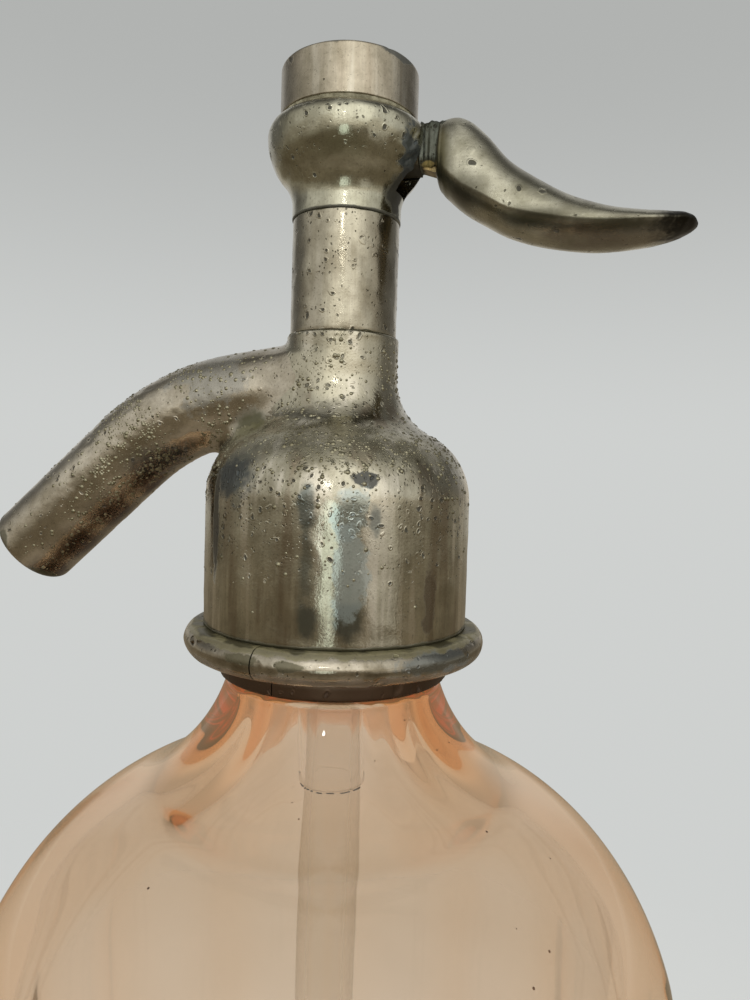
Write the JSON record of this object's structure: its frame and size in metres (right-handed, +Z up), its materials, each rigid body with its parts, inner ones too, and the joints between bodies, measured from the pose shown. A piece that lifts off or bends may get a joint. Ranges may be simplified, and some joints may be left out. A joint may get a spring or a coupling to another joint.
{
  "type": "soda siphon",
  "caption": "Soda siphon: panelled glass bottle, split collar, cast head with curved spout, and a side lever that lifts a sprung valve.",
  "frame": {"origin": "centre of the bottle's foot ring, on the surface it stands on", "axes": "+Z up along the bottle's axis; +X towards the lever, -X towards the spout"},
  "size_m": [0.1184, 0.1122, 0.3173],
  "materials": {
    "bottle_glass": "polished, faint rose-brown tint",
    "tube_glass": "polished",
    "liner": "matte, yellowed",
    "gasket_rubber": "matte",
    "valve_rubber": "matte",
    "leather": "greased",
    "fibre": "dark, grimy",
    "brass": "turned",
    "head_metal": "tarnished tin alloy, pitted",
    "collar_metal": "tarnished, worn edges",
    "sleeve_metal": "tarnished, smooth",
    "cap_metal": "smooth, vertical streaks",
    "lever_metal": "brushed lengthwise, worn",
    "spring_wire": "drawn wire",
    "pin_steel": "dark, turned"
  },
  "bodies": {
    "siphon": {"bottle": "bottle_glass", "collar_liner": "liner", "collar_half_right": "collar_metal", "collar_half_left": "collar_metal", "neck_gasket": "gasket_rubber", "mouth_bung": "gasket_rubber", "dip_tube": "tube_glass", "tube_sheath": "tube_glass", "seat_washer": "leather", "valve_seat": "brass", "head_body": "head_metal", "spout": "head_metal", "column_sleeve": "sleeve_metal", "lever_housing": "head_metal", "cap_washer": "fibre", "top_cap": "cap_metal", "gland_packing": "leather", "gland_nut": "brass", "lever_pin": "pin_steel"},
    "lever": {"lever_handle": "lever_metal", "lever_tongue": "brass"},
    "valve": {"valve_rod": "brass", "valve_cup": "brass", "valve_washer": "valve_rubber", "spring_collar": "brass", "lift_nut": "brass", "spring": "spring_wire"}
  },
  "joints": [
    {"name": "lever_press", "type": "hinge", "parent": "siphon", "child": "lever", "pos_m": [0.009, 0, 0.3044], "axis": [0, 1, 0], "range_deg": [0, 18], "stiffness_Nm_per_rad": 0.32, "springref_deg": -31.51},
    {"name": "valve_lift", "type": "slide", "parent": "siphon", "child": "valve", "axis": [0, 0, 1], "range_m": [0, 0.003], "deforming": ["spring"]}
  ],
  "couplings": [
    {"joint": "valve_lift", "follows": "lever_press", "m_per_rad": 0.009}
  ]
}
